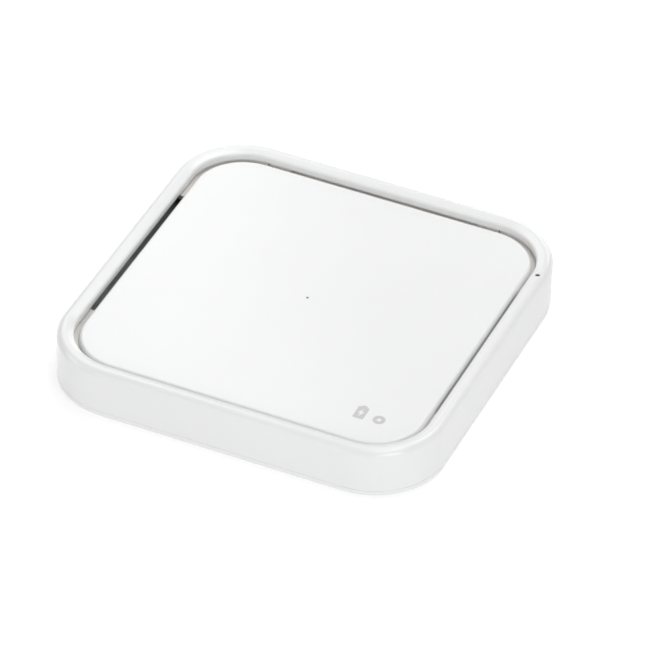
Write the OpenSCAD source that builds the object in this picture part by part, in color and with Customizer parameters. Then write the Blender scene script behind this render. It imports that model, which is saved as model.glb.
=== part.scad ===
// Square wireless charging pad with a recessed charging plate, a fan inside,
// air vents around the plate and a USB-C inlet in the back wall.
// Origin: centre of the footprint, on the surface that the feet stand on.
// +Z up, the USB-C inlet faces +Y.

/* [Body] */
// Width and depth of the square body
body_w = 97; // [96.5:0.5:100]
// Height of the body without its feet
body_h = 13; // [13:0.25:14]
// Plan radius of the body's corners
corner_r = 17.8; // [17.6:0.1:18.2]
// Radius between the side wall and the rim
shoulder_r = 1.8; // [1.2:0.1:2]
// Thickness of the side wall
wall_t = 1.8; // [1.7:0.05:1.9]
// Width of the rim around the plate
rim_w = 4; // [4:0.05:4.2]
// Thickness of the rim
rim_t = 1.6; // [1.4:0.1:1.8]
// Fall of the rim's top towards the plate
rim_fall = 0.4; // [0.2:0.05:0.5]
// Height of the skirt that hangs from the rim's inner edge
skirt_h = 0.85; // [0.5:0.05:0.9]
// Radius of the rim's inner edge
lip_r = 0.7; // [0.3:0.1:0.8]

/* [Charging plate] */
// Depth of the plate's top below the rim
plate_drop = 1.7; // [1.6:0.05:1.8]
// Open gap between the rim and the plate
plate_gap = 1.15; // [1:0.05:1.2]
// Thickness of the plate
plate_t = 1.4; // [1.35:0.05:1.45]
// Width of the plate's rounded upper edge
plate_edge_w = 1; // [0.8:0.1:1.6]
// Height of the plate's rounded upper edge
plate_edge_h = 1.1; // [0.6:0.05:1.25]

/* [Vents] */
// Length of the air outlets in front and at both sides, and of the blind recess at the back
vent_len = 49; // [40:1:54]
// Radius of the round intake grille in the base
intake_r = 11; // [8:0.5:12]
// Width of each intake slot
intake_slot_w = 1.4; // [1:0.1:1.6]
// Distance between the intake slots
intake_pitch = 2.6; // [2.4:0.1:3]

/* [Base and feet] */
// Thickness of the base cover
base_t = 1.5; // [1.4:0.05:1.6]
// Radius of the base cover's lower edge
base_edge_r = 0.6; // [0.2:0.1:0.9]
// Height of the feet below the base cover
foot_h = 0.8; // [0.7:0.05:1]
// Width of each rubber foot strip
foot_w = 6; // [5.4:0.1:6.4]
// Length of each foot strip's straight arm
foot_arm = 10; // [2:0.5:16]

/* [Status light] */
// Distance of the status light from the middle of the right side
light_y = 29.7; // [27:0.1:29.9]
// Width of the light pipe across the rim
light_w = 1; // [0.8:0.1:1]
// Length of the light pipe along the rim
light_l = 1.3; // [1:0.1:1.4]

/* [Marks] */
// Distance of the printed symbols right of the middle
mark_x = 28.5; // [20:0.1:29]
// Distance of the printed symbols in front of the middle
mark_y = 33.3; // [28:0.1:33.5]
// Diameter of the dot that marks the plate's middle
dot_d = 0.7; // [0.5:0.1:2]

/* [Coil] */
// Number of turns of the flat coil
coil_turns = 11; // [8:1:11]
// Radius of the coil's open middle
coil_in_r = 10; // [9.5:0.1:10.2]
// Distance from one turn to the next
coil_pitch = 1.25; // [1.2:0.01:1.28]
// Width of the flat litz wire
coil_wire_w = 1.05; // [0.8:0.05:1.1]
// Thickness of the flat litz wire
coil_wire_t = 0.8; // [0.7:0.05:0.85]
// Radius of the ferrite disc
ferrite_r = 26; // [25.5:0.1:26.2]
// Thickness of the ferrite disc
ferrite_t = 0.6; // [0.6:0.01:0.65]

/* [Fan] */
// Width and depth of the fan's square case
fan_w = 36; // [35:0.5:37]
// Distance of the fan's axis in front of the middle
fan_y = 16; // [15:0.5:17]
// Radius of the impeller over its blades
impeller_r = 13.8; // [13:0.1:14]
// Number of blades
blade_count = 17; // [9:2:23]
// Thickness of a blade
blade_t = 0.6; // [0.4:0.05:0.8]
// Angle by which a blade curves back from its root to its tip
blade_sweep = 26; // [0:1:40]
// Radius of the shaft
shaft_r = 0.5; // [0.4:0.05:0.6]
// Running clearance between the shaft and its bearing
shaft_gap = 0.03; // [0.02:0.01:0.06]

/* [Hidden] */
$fn = 64;

// How far a cutting solid runs past the face that it opens
trim = 0.5;
// Clearance between two fixed pieces that slide together
slip = 0.05;

// Heights from the standing surface
top_z = foot_h + body_h;
seam_z = foot_h + base_t;
rim_under_z = top_z - rim_t;
skirt_z = rim_under_z - skirt_h;
plate_top_z = top_z - plate_drop;
plate_z = plate_top_z - plate_t;
adhesive_t = 0.1;
ledge_top_z = plate_z - adhesive_t;
ledge_t = 1.1;
ledge_z = ledge_top_z - ledge_t;

// The outline is a square whose corners are arcs about four centres. A radius
// below that isn't about an axis of its own is taken from those centres.
corner_c = body_w / 2 - corner_r;
wall_in_r = corner_r - wall_t;
rim_in_r = corner_r - rim_w;
plate_r = rim_in_r - plate_gap;
skirt_t = 0.8;
frame_in_r = rim_in_r + 0.15;
frame_wall_t = 1;
frame_out_r = frame_in_r + frame_wall_t;
ledge_in_r = plate_r - 2.65;
vent_in_r = plate_r + slip;
light_x = corner_c + wall_in_r - 0.4;
print_depth = 0.06;

// The four base screws, their bosses and the rubber strips that hide them
seam_w = 0.25;
boss_r = 2.8;
boss_c = corner_c + 6.3;
boss_z = seam_z + 1.3;
base_screw_r = 0.98;
base_screw_len = 6;
screw_head_r = 1.9;
screw_head_h = 0.85;
foot_t = foot_h + 0.5;
foot_mid_r = 6.3 * sqrt(2);

// Rests of the circuit board
pcb_z = seam_z + 1.5;
pcb_t = 0.8;
pcb_top_z = pcb_z + pcb_t;
pcb_r = wall_in_r - 2.1;
pcb_front_y = 6;
pcb_corner_r = 3;
post_r = 2.1;
small_screw_r = 0.78;
small_head_r = 1.6;
small_head_h = 0.8;
PCB_POSTS = [[-38, 11], [38, 11], [-19, 40.5], [19, 40.5]];

// USB-C receptacle, to the standard's own sizes
usb_w = 8.94;
usb_h = 3.16;
usb_t = 0.3;
usb_len = 7.35;
usb_inset = 0.6;
usb_mouth_y = body_w / 2 - usb_inset;
usb_z = pcb_top_z + usb_h / 2;
usb_hole_gap = 0.18;
usb_tongue_w = 6.69;
usb_tongue_t = 0.7;
usb_tongue_len = 4.45;
usb_rear_len = 1.9;
usb_pin_pitch = 0.5;
usb_pins = 12;
usb_leg_x = usb_w / 2 - usb_t / 2;
USB_LEGS = [usb_mouth_y - usb_len + 0.9, usb_mouth_y - 4.2];

// Coil, ferrite and carrier, stacked under the plate
coil_top_z = plate_z - 0.2;
coil_z = coil_top_z - coil_wire_t;
ferrite_z = coil_z - ferrite_t;
carrier_t = 0.7;
carrier_z = ferrite_z - carrier_t;
carrier_reach = 40;
carrier_arm = 30;
lead_r = 0.28;
lead_z = ferrite_z + ferrite_t / 2;
lead_y = 30.5;
LUGS = [[-26, -38.6], [26, -38.6], [-26, 38.6], [26, 38.6]];
lug_r = 2.2;
lug_screw_len = 2;
lug_hole_len = 1.4;
spreader_t = 0.5;
spreader_z = carrier_z - spreader_t;

// Shielded part of the board
can_w = 24;
can_d = 18;
can_h = 2.3;
can_t = 0.2;
can_y = 19;

// Fan, from its inlet plate at the bottom to its closed top
gasket_t = 0.5;
fan_z = seam_z + gasket_t;
fan_plate_t = 0.6;
fan_h = 5;
fan_top_z = fan_z + fan_h;
fan_corner_r = 3;
fan_inlet_r = 9.8;
fan_room_r = impeller_r + 1.4;
fan_outlet_w = 22;
fan_ear_r = 2.5;
fan_ear_z = seam_z + 1.7;
fan_ear_t = 1.2;
FAN_EARS = [[-20.2, -15], [20.2, -15], [-20.2, 13]];
hub_r = 7.2;
hub_t = 0.5;
impeller_z = fan_z + fan_plate_t + 0.4;
impeller_top_z = fan_top_z - fan_plate_t - 0.3;
yoke_t = 0.5;
yoke_floor_t = 0.4;
yoke_r = hub_r - hub_t;
yoke_z = impeller_z + hub_t;
yoke_top_z = impeller_top_z - 0.4;
magnet_t = 0.9;
magnet_out_r = yoke_r - yoke_t;
magnet_in_r = magnet_out_r - magnet_t;
stator_gap = 0.35;
stator_r = magnet_in_r - stator_gap;
stator_slots = 6;
stator_z = yoke_z + 1;
stator_t = 1;
tooth_w = 0.9;
winding_t = 0.25;
tube_wall = 0.6;
bearing_r = 1.55;
bearing_z = yoke_z + yoke_floor_t + 0.3;
tube_top_z = fan_top_z - fan_plate_t;
thrust_t = 0.25;
fan_board_t = 0.35;
fan_board_r = 5.8;
fan_board_z = tube_top_z - fan_board_t;
cable_r = 0.32;
cable_pitch = 0.8;
cable_z = tube_top_z + fan_plate_t / 2;
connector_x = 21.5;
connector_y = 9.6;

// ---- Shapes that are used more than once ----

// Sweeps a profile, drawn as radius and height, around the body's outline
module around() {
    for (k = [0 : 3])
        rotate(90 * k)
            translate([corner_c, corner_c, 0]) {
                rotate_extrude(angle = 90) children();
                rotate([90, 0, 0]) linear_extrude(2 * corner_c) children();
            }
}

// Fills the square between the four corner centres
module middle(z, h) {
    translate([-corner_c, -corner_c, z]) cube([2 * corner_c, 2 * corner_c, h]);
}

// One copy in each quadrant
module corners() {
    for (k = [0 : 3]) rotate(90 * k) children();
}

// What a rounding of radius r takes off a profile's outer top corner at x, z
module round_off(x, z, r) {
    translate([x - r, z - r])
        difference() {
            square(r + trim);
            circle(r);
        }
}

// Rectangle with round corners
module rounded_rect(w, d, r) {
    square([w - 2 * r, d], center = true);
    square([w, d - 2 * r], center = true);
    for (x = [-1, 1], y = [-1, 1])
        translate([x * (w / 2 - r), y * (d / 2 - r)]) circle(r);
}

// Bar with half-round ends, w across both ends
module stadium(w, h) {
    square([w - h, h], center = true);
    for (x = [-1, 1]) translate([x * (w - h) / 2, 0]) circle(d = h);
}

// Box standing on z, centred on x and y
module chip(x, y, z, size) {
    translate([x - size[0] / 2, y - size[1] / 2, z]) cube(size);
}

// Hollow cylinder standing on z
module ring(out_r, in_r, z, h) {
    translate([0, 0, z])
        difference() {
            cylinder(r = out_r, h = h);
            translate([0, 0, -trim]) cylinder(r = in_r, h = h + 2 * trim);
        }
}

// Round wire along a list of points
module wire(points, r) {
    for (i = [0 : len(points) - 2]) {
        step = points[i + 1] - points[i];
        translate(points[i])
            rotate([0, acos(step[2] / norm(step)), atan2(step[1], step[0])])
                cylinder(r = r, h = norm(step), $fn = 24);
    }
    for (i = [1 : len(points) - 2])
        translate(points[i]) sphere(r * 1.03, $fn = 24);
}

// Screw standing upside down: the head's top at z = 0, the shank above it
module screw(head_r, head_h, shank_r, shank_len) {
    slot_w = head_r * 0.3;
    slot_l = head_r * 1.3;
    slot_depth = head_h * 0.55;
    difference() {
        union() {
            cylinder(r = head_r, h = head_h);
            translate([0, 0, head_h]) cylinder(r = shank_r, h = shank_len);
        }
        translate([-slot_l / 2, -slot_w / 2, -trim]) cube([slot_l, slot_w, slot_depth + trim]);
        translate([-slot_w / 2, -slot_l / 2, -trim]) cube([slot_w, slot_l, slot_depth + trim]);
    }
}

// Everything of the fan is drawn about its own axis
module at_fan() {
    translate([0, -fan_y, 0]) children();
}

// ---- Casing ----

module shell_profile() {
    lip_z = top_z - rim_fall;
    difference() {
        union() {
            translate([wall_in_r, seam_z]) square([wall_t, top_z - seam_z]);
            translate([rim_in_r, rim_under_z]) square([rim_w, rim_t]);
            translate([rim_in_r, skirt_z]) square([skirt_t, skirt_h + slip]);
        }
        round_off(corner_r, top_z, shoulder_r);
        // The rim's top falls towards the plate
        polygon([
            [corner_r - shoulder_r, top_z], [rim_in_r + lip_r, lip_z],
            [rim_in_r - trim, lip_z], [rim_in_r - trim, top_z + trim]
        ]);
        translate([2 * rim_in_r, 0])
            mirror([1, 0]) round_off(rim_in_r, lip_z, lip_r);
        translate([corner_r, seam_z]) rotate(45) square(seam_w, center = true);
    }
}

module outer_shell() {
    hole_w = light_w + 2 * slip;
    hole_l = light_l + 2 * slip;
    color("white")
        difference() {
            around() shell_profile();
            // Opening for the USB-C receptacle
            translate([0, body_w / 2 + trim, usb_z])
                rotate([90, 0, 0])
                    linear_extrude(wall_t + 2 * trim)
                        stadium(usb_w + 2 * usb_hole_gap, usb_h + 2 * usb_hole_gap);
            // Hole in the rim and pocket in the wall for the light pipe
            chip(light_x, light_y, rim_under_z - trim, [hole_w, hole_l, rim_t + 2 * trim]);
            chip(light_x, light_y, pcb_top_z, [hole_w, hole_l, rim_under_z - pcb_top_z]);
        }
}

module frame_profile() {
    translate([frame_in_r, ledge_z]) square([frame_wall_t, skirt_z - ledge_z]);
    translate([ledge_in_r, ledge_z]) square([frame_in_r - ledge_in_r, ledge_t]);
}

module inner_frame() {
    slit_w = 0.4;
    blind_depth = 0.45;
    slit_x = corner_c - 0.3;
    rib_w = 1;
    boss_hole_len = base_screw_len;
    web_w = 2.4;
    lug_z = ferrite_z;
    color("gainsboro")
        difference() {
            union() {
                around() frame_profile();
                corners() {
                    // Screw bosses, which the base cover is pulled up against
                    translate([boss_c, boss_c, boss_z])
                        cylinder(r = boss_r, h = ledge_top_z - boss_z);
                    // Ribs that centre the frame in the shell
                    for (a = [25, 65])
                        translate([corner_c, corner_c, ledge_z])
                            rotate(a)
                                translate([frame_out_r - slip, -rib_w / 2, 0])
                                    cube([wall_in_r - frame_out_r, rib_w, skirt_z - ledge_z]);
                }
                // Lugs for the coil carrier, each with a web out to the ledge
                for (p = LUGS) {
                    side = sign(p[1]);
                    web_len = corner_c + ledge_in_r + 0.8 - abs(p[1]);
                    translate([p[0], p[1], lug_z]) cylinder(r = lug_r, h = ledge_top_z - lug_z);
                    chip(p[0], p[1] + side * web_len / 2, ledge_z, [web_w, web_len, ledge_t]);
                }
            }
            // Air outlets in the middle of the front and both sides
            for (a = [-90, 0, 180])
                rotate(a)
                    translate([corner_c + vent_in_r, -vent_len / 2, ledge_z - trim])
                        cube([wall_in_r - vent_in_r, vent_len, skirt_z - ledge_z + 2 * trim]);
            // Blind recess at the back, where the USB-C receptacle is in the way of the air
            translate([-vent_len / 2, corner_c + frame_in_r - trim, ledge_top_z])
                cube([vent_len, blind_depth + trim, skirt_z - ledge_top_z + trim]);
            corners() {
                // Slits at both ends of the straight wall
                for (y = [-slit_x, slit_x])
                    translate([corner_c + frame_in_r - trim, y - slit_w / 2, ledge_top_z])
                        cube([frame_wall_t + 2 * trim, slit_w, skirt_z - ledge_top_z + trim]);
                translate([boss_c, boss_c, boss_z - trim])
                    cylinder(r = base_screw_r + 0.02, h = boss_hole_len + trim);
            }
            for (p = LUGS)
                translate([p[0], p[1], lug_z - trim])
                    cylinder(r = small_screw_r + 0.02, h = lug_hole_len + trim, $fn = 32);
        }
}

// Half section of the plate, whose upper edge is a quarter of an ellipse
module plate_profile() {
    steps = 8;
    edge = [
        for (i = [0 : steps])
            let (a = 90 * i / steps)
                [
                    plate_r - plate_edge_w * (1 - cos(a)),
                    plate_top_z - plate_edge_h * (1 - sin(a))
                ]
    ];
    polygon(concat([[0, plate_z], [plate_r, plate_z]], edge, [[0, plate_top_z]]));
}

module charging_plate() {
    color("whitesmoke")
        difference() {
            union() {
                around() plate_profile();
                middle(plate_z, plate_t);
            }
            translate([0, 0, plate_top_z - print_depth]) linear_extrude(trim) dot_shape();
            translate([0, 0, plate_top_z - print_depth]) linear_extrude(trim) symbol_shape();
        }
}

module plate_adhesive() {
    strip_w = 2;
    color("dimgray")
        around() translate([ledge_in_r + 0.4, ledge_top_z]) square([strip_w, adhesive_t]);
}

module dot_shape() {
    circle(d = dot_d);
}

// A battery with a lightning bolt left open in it, and a small ring: general signs
// for charging and for the place to charge
module symbol_shape() {
    battery_w = 2.7;
    battery_l = 4.3;
    cap_w = 1.3;
    cap_l = 0.5;
    bolt = [[0.25, 1.5], [-0.8, -0.2], [-0.1, -0.2], [-0.3, -1.5], [0.8, 0.3], [0.1, 0.3]];
    ring_x = 4.8;
    ring_y = -0.6;
    ring_out_r = 1.5;
    ring_in_r = 0.5;
    translate([mark_x, -mark_y]) {
        difference() {
            union() {
                rounded_rect(battery_w, battery_l, 0.4);
                translate([-cap_w / 2, battery_l / 2 - slip]) square([cap_w, cap_l + slip]);
            }
            polygon(bolt);
        }
        translate([ring_x, ring_y])
            difference() {
                circle(ring_out_r);
                circle(ring_in_r);
            }
    }
}

module centre_mark() {
    color("gray")
        translate([0, 0, plate_top_z - print_depth]) linear_extrude(print_depth) dot_shape();
}

module corner_mark() {
    color("silver")
        translate([0, 0, plate_top_z - print_depth]) linear_extrude(print_depth) symbol_shape();
}

module base_profile() {
    difference() {
        translate([0, foot_h]) square([corner_r, base_t]);
        translate([0, 2 * foot_h]) mirror([0, 1]) round_off(corner_r, foot_h, base_edge_r);
        translate([corner_r, seam_z]) rotate(45) square(seam_w, center = true);
    }
}

// Quarter ring with two straight arms, concentric with a corner of the body
module foot_shape() {
    in_r = foot_mid_r - foot_w / 2;
    out_r = foot_mid_r + foot_w / 2;
    translate([corner_c, corner_c]) {
        intersection() {
            difference() {
                circle(out_r);
                circle(in_r);
            }
            square(out_r + trim);
        }
        translate([in_r, -foot_arm]) square([foot_w, foot_arm]);
        translate([-foot_arm, in_r]) square([foot_arm, foot_w]);
        translate([foot_mid_r, -foot_arm]) circle(foot_w / 2);
        translate([-foot_arm, foot_mid_r]) circle(foot_w / 2);
    }
}

module intake_slots() {
    rows = floor((intake_r - intake_slot_w) / intake_pitch);
    for (i = [-rows : rows]) {
        y = i * intake_pitch;
        translate([0, y, foot_h - trim])
            linear_extrude(base_t + 2 * trim)
                stadium(2 * sqrt(intake_r * intake_r - y * y), intake_slot_w);
    }
}

module base_cover() {
    lip_t = 1;
    lip_h = 1.4;
    lip_out_r = wall_in_r - slip;
    blind_z = foot_h + 0.6;
    color("white")
        difference() {
            union() {
                around() base_profile();
                middle(foot_h, base_t);
                // Lip that centres the cover in the shell
                around() translate([lip_out_r - lip_t, seam_z]) square([lip_t, lip_h]);
                corners()
                    translate([boss_c, boss_c, seam_z]) cylinder(r = boss_r, h = boss_z - seam_z);
                for (p = PCB_POSTS)
                    translate([p[0], p[1], seam_z]) cylinder(r = post_r, h = pcb_z - seam_z);
                at_fan()
                    for (p = FAN_EARS)
                        translate([p[0], p[1], seam_z]) cylinder(r = post_r, h = fan_ear_z - seam_z);
            }
            corners() {
                translate([0, 0, foot_h - trim])
                    linear_extrude(foot_t - foot_h + trim) foot_shape();
                translate([boss_c, boss_c, foot_h])
                    cylinder(r = screw_head_r + 0.2, h = foot_t - foot_h + screw_head_h + slip);
                translate([boss_c, boss_c, foot_h])
                    cylinder(r = base_screw_r + 0.17, h = boss_z - foot_h + trim);
            }
            for (p = PCB_POSTS)
                translate([p[0], p[1], blind_z])
                    cylinder(r = small_screw_r + 0.02, h = pcb_z - blind_z + trim, $fn = 32);
            at_fan() {
                for (p = FAN_EARS)
                    translate([p[0], p[1], blind_z])
                        cylinder(r = small_screw_r + 0.02, h = fan_ear_z - blind_z + trim, $fn = 32);
                intake_slots();
            }
        }
}

module foot_strips() {
    color("gray")
        corners() linear_extrude(foot_t) foot_shape();
}

module base_screws() {
    color("silver")
        corners()
            translate([boss_c, boss_c, foot_t + slip])
                screw(screw_head_r, screw_head_h, base_screw_r, base_screw_len - 1);
}

// ---- Status light ----

module light_pipe() {
    pipe_z = pcb_top_z + 0.8;
    arm_t = 1;
    arm_len = 3.1;
    recess = 0.1;
    color("dimgray") {
        chip(light_x, light_y, pipe_z, [light_w, light_l, top_z - recess - pipe_z]);
        chip(light_x + light_w / 2 - arm_len / 2, light_y, pipe_z, [arm_len, light_l, arm_t]);
    }
}

module status_led() {
    led_x = corner_c + pcb_r - 0.9;
    color("khaki")
        union() {
            chip(led_x, light_y, pcb_top_z, [0.9, 1.6, 0.3]);
            chip(led_x, light_y, pcb_top_z + 0.3, [0.9, 1.1, 0.3]);
        }
}

// ---- Circuit board ----

module board_outline() {
    back_h = corner_c + pcb_r - pcb_front_y;
    difference() {
        union() {
            translate([-corner_c - pcb_r, pcb_front_y + pcb_corner_r])
                square([2 * (corner_c + pcb_r), corner_c - pcb_front_y - pcb_corner_r]);
            translate([-corner_c - pcb_r + pcb_corner_r, pcb_front_y])
                square([2 * (corner_c + pcb_r - pcb_corner_r), corner_c - pcb_front_y]);
            translate([-corner_c, pcb_front_y]) square([2 * corner_c, back_h]);
            for (x = [-1, 1]) {
                translate([x * corner_c, corner_c]) circle(pcb_r);
                translate([x * (corner_c + pcb_r - pcb_corner_r), pcb_front_y + pcb_corner_r])
                    circle(pcb_corner_r);
            }
        }
        for (x = [-1, 1]) translate([x * boss_c, boss_c]) circle(boss_r + 0.5);
        for (p = PCB_POSTS) translate(p) circle(small_screw_r + 0.25);
        for (x = [-1, 1], y = USB_LEGS) translate([x * usb_leg_x, y]) square([0.7, 1.3], center = true);
    }
}

module main_pcb() {
    color("darkgreen")
        translate([0, 0, pcb_z]) linear_extrude(pcb_t) board_outline();
}

module pcb_screws() {
    color("silver")
        for (p = PCB_POSTS)
            translate([p[0], p[1], pcb_top_z + small_head_h])
                mirror([0, 0, 1]) screw(small_head_r, small_head_h, small_screw_r, 2.8);
}

module at_usb() {
    translate([0, usb_mouth_y, usb_z]) rotate([90, 0, 0]) children();
}

module usb_shell() {
    leg_t = 0.3;
    leg_w = 1;
    color("silver")
        union() {
            at_usb()
                difference() {
                    linear_extrude(usb_len) stadium(usb_w, usb_h);
                    translate([0, 0, -trim])
                        linear_extrude(usb_len + 2 * trim)
                            stadium(usb_w - 2 * usb_t, usb_h - 2 * usb_t);
                }
            for (x = [-1, 1], y = USB_LEGS)
                chip(x * usb_leg_x, y, pcb_z, [leg_t, leg_w, usb_z - pcb_z]);
        }
}

module usb_insulator() {
    color("black")
        at_usb() {
            translate([0, 0, usb_len - usb_rear_len])
                linear_extrude(usb_rear_len) stadium(usb_w - 2 * usb_t, usb_h - 2 * usb_t);
            translate([0, 0, usb_len - usb_rear_len - usb_tongue_len])
                linear_extrude(usb_tongue_len) square([usb_tongue_w, usb_tongue_t], center = true);
        }
}

module usb_contacts() {
    pin_w = 0.25;
    pin_t = 0.06;
    pin_len = 3.8;
    back_y = usb_mouth_y - usb_len + usb_rear_len;
    color("gold")
        for (i = [0 : usb_pins - 1], side = [0, 1]) {
            x = (i - (usb_pins - 1) / 2) * usb_pin_pitch;
            z = usb_z + (side == 0 ? usb_tongue_t / 2 : -usb_tongue_t / 2 - pin_t);
            chip(x, back_y + pin_len / 2, z, [pin_w, pin_len, pin_t]);
        }
}

// ---- Parts on the board ----

// Flat package with a small round dimple by its first pin
module package(x, y, size) {
    dimple_r = 0.25;
    difference() {
        chip(x, y, pcb_top_z, size);
        translate([x - size[0] / 2 + 0.8, y + size[1] / 2 - 0.8, pcb_top_z + size[2] - 0.08])
            cylinder(r = dimple_r, h = trim, $fn = 24);
    }
}

module controller_ic() {
    color("black") package(-5.5, can_y + 2, [7, 7, 0.9]);
}

module bridge_ics() {
    color("black")
        for (y = [can_y - 3, can_y + 3.5]) package(5.5, y, [5, 5, 0.85]);
}

module regulator_ic() {
    color("black") package(-7.5, can_y - 5.5, [3, 3, 0.8]);
}

module crystal() {
    color("silver")
        union() {
            chip(-2.2, can_y - 5.5, pcb_top_z, [3.2, 2.5, 0.3]);
            chip(-2.2, can_y - 5.5, pcb_top_z + 0.3, [2.8, 2.1, 0.4]);
        }
}

module resonant_capacitors() {
    color("sandybrown")
        for (i = [0 : 4]) chip(-24, 13 + 3.4 * i, pcb_top_z, [3.2, 2.5, 2]);
}

module bulk_capacitors() {
    color("goldenrod")
        for (y = [31, 36]) chip(-13, y, pcb_top_z, [7.3, 4.3, 2.8]);
}

module power_inductor() {
    side = 7;
    height = 3;
    notch = 1.2;
    color("dimgray")
        translate([13, 34, pcb_top_z])
            difference() {
                translate([-side / 2, -side / 2, 0]) cube([side, side, height]);
                corners()
                    translate([side / 2, side / 2, -trim])
                        rotate(45)
                            translate([-notch / 2, -notch, 0])
                                cube([notch, 2 * notch, height + 2 * trim]);
                translate([0, 0, height - 0.3]) cylinder(r = 2.4, h = trim);
            }
}

module chip_resistors() {
    color("darkslategray")
        for (i = [0 : 5], y = [20, 24])
            chip(19 + 2.6 * i, y, pcb_top_z, [0.8, 1.6, 0.45]);
}

module shield_can() {
    hole_r = 0.7;
    color("silver")
        difference() {
            chip(0, can_y, pcb_top_z, [can_w, can_d, can_h]);
            chip(0, can_y, pcb_top_z - trim, [can_w - 2 * can_t, can_d - 2 * can_t, can_h - can_t + trim]);
            for (x = [-10, 10], y = [-7, 7])
                translate([x, can_y + y, pcb_top_z + can_h - 2 * can_t])
                    cylinder(r = hole_r, h = trim, $fn = 24);
        }
}

module thermal_pad() {
    color("lightblue")
        chip(0, can_y, pcb_top_z + can_h, [18, 12, spreader_z - pcb_top_z - can_h]);
}

module fan_connector() {
    color("ivory")
        difference() {
            chip(connector_x, connector_y, pcb_top_z, [5, 3.6, 2.6]);
            chip(connector_x, connector_y - 1.8, pcb_top_z + 0.5, [3.4, 1.6, 1.6]);
        }
}

// ---- Coil ----

// Point on the flat spiral, at a distance from its inner edge
function spiral_point(turn, across) =
    let (r = coil_in_r + coil_pitch * turn + across)
        r * [-sin(360 * turn), cos(360 * turn)];

module coil_winding() {
    steps = 36 * coil_turns;
    inner_edge = [for (i = [0 : steps]) spiral_point(i / 36, 0)];
    outer_edge = [for (i = [steps : -1 : 0]) spiral_point(i / 36, coil_wire_w)];
    end_y = coil_in_r + coil_pitch * coil_turns + coil_wire_w / 2;
    start_y = coil_in_r + coil_wire_w / 2;
    end_x = 2.6;
    end_z = coil_z + lead_r;
    color("peru")
        union() {
            translate([0, 0, coil_z]) linear_extrude(coil_wire_t) polygon(concat(inner_edge, outer_edge));
            // Outer lead
            wire([
                [-0.2, end_y, end_z], [end_x, end_y + 2.6, end_z],
                [end_x, lead_y, end_z], [end_x, lead_y, pcb_top_z + 0.05]
            ], lead_r);
            // Inner lead, which crosses under the turns in the ferrite's slot
            wire([
                [0, start_y, coil_z + 0.2], [0, start_y, lead_z],
                [0, lead_y, lead_z], [0, lead_y, pcb_top_z + 0.05]
            ], lead_r);
        }
}

module ferrite_disc() {
    slot_w = 3;
    slot_y = 8;
    color("dimgray")
        translate([0, 0, ferrite_z])
            difference() {
                cylinder(r = ferrite_r, h = ferrite_t);
                translate([-slot_w + 0.8, slot_y, -trim]) cube([slot_w, ferrite_r, ferrite_t + 2 * trim]);
            }
}

module coil_carrier() {
    collar_t = 1.2;
    collar_h = 0.6;
    collar_r = ferrite_r + 0.1;
    window_x = 33.5;
    color("lightgray")
        difference() {
            union() {
                translate([0, 0, carrier_z])
                    linear_extrude(carrier_t) {
                        square([2 * carrier_reach, 2 * carrier_arm], center = true);
                        square([2 * carrier_arm, 2 * carrier_reach], center = true);
                    }
                ring(collar_r + collar_t, collar_r, carrier_z + carrier_t, collar_h);
            }
            // Way down for the leads
            chip(0, ferrite_r + 4.2, carrier_z - trim, [12, 5.4, carrier_t + 2 * trim]);
            chip(0.6, ferrite_r, carrier_z + carrier_t, [7.4, 6, collar_h + trim]);
            // Air passages beside the coil
            for (x = [-1, 1])
                chip(x * window_x, 0, carrier_z - trim, [7, 40, carrier_t + 2 * trim]);
            for (x = [-1, 1])
                chip(x * 14, -window_x, carrier_z - trim, [12, 7, carrier_t + 2 * trim]);
            for (p = LUGS)
                translate([p[0], p[1], carrier_z - trim])
                    cylinder(r = small_screw_r + 0.15, h = carrier_t + 2 * trim, $fn = 32);
        }
}

module carrier_screws() {
    color("silver")
        for (p = LUGS)
            translate([p[0], p[1], carrier_z - small_head_h])
                screw(small_head_r, small_head_h, small_screw_r, lug_screw_len);
}

module heat_spreader() {
    w = 52;
    front_y = -31;
    back_y = 27;
    color("lightsteelblue")
        translate([0, (front_y + back_y) / 2, spreader_z])
            linear_extrude(spreader_t) rounded_rect(w, back_y - front_y, 4);
}

module thermistor() {
    bead_x = -1.1;
    bead_r = 1.3;
    bead_h = 0.8;
    wire_r = 0.22;
    high_z = coil_z + 0.3;
    low_z = ferrite_z + 0.3;
    color("saddlebrown")
        union() {
            translate([bead_x, 0, coil_z]) cylinder(r = bead_r, h = bead_h, $fn = 32);
            for (x = [bead_x - 0.33, bead_x + 0.33])
                wire([
                    [x, 0.4, high_z], [x, 8.5, high_z], [x, 8.5, low_z],
                    [x, lead_y, low_z], [x, lead_y, pcb_top_z + 0.05]
                ], wire_r);
        }
}

// ---- Fan ----

// Air room of the fan: round about the impeller, open on one side
module fan_room() {
    circle(fan_room_r);
    translate([-fan_room_r, 0]) square([fan_outlet_w, fan_w]);
}

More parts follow.
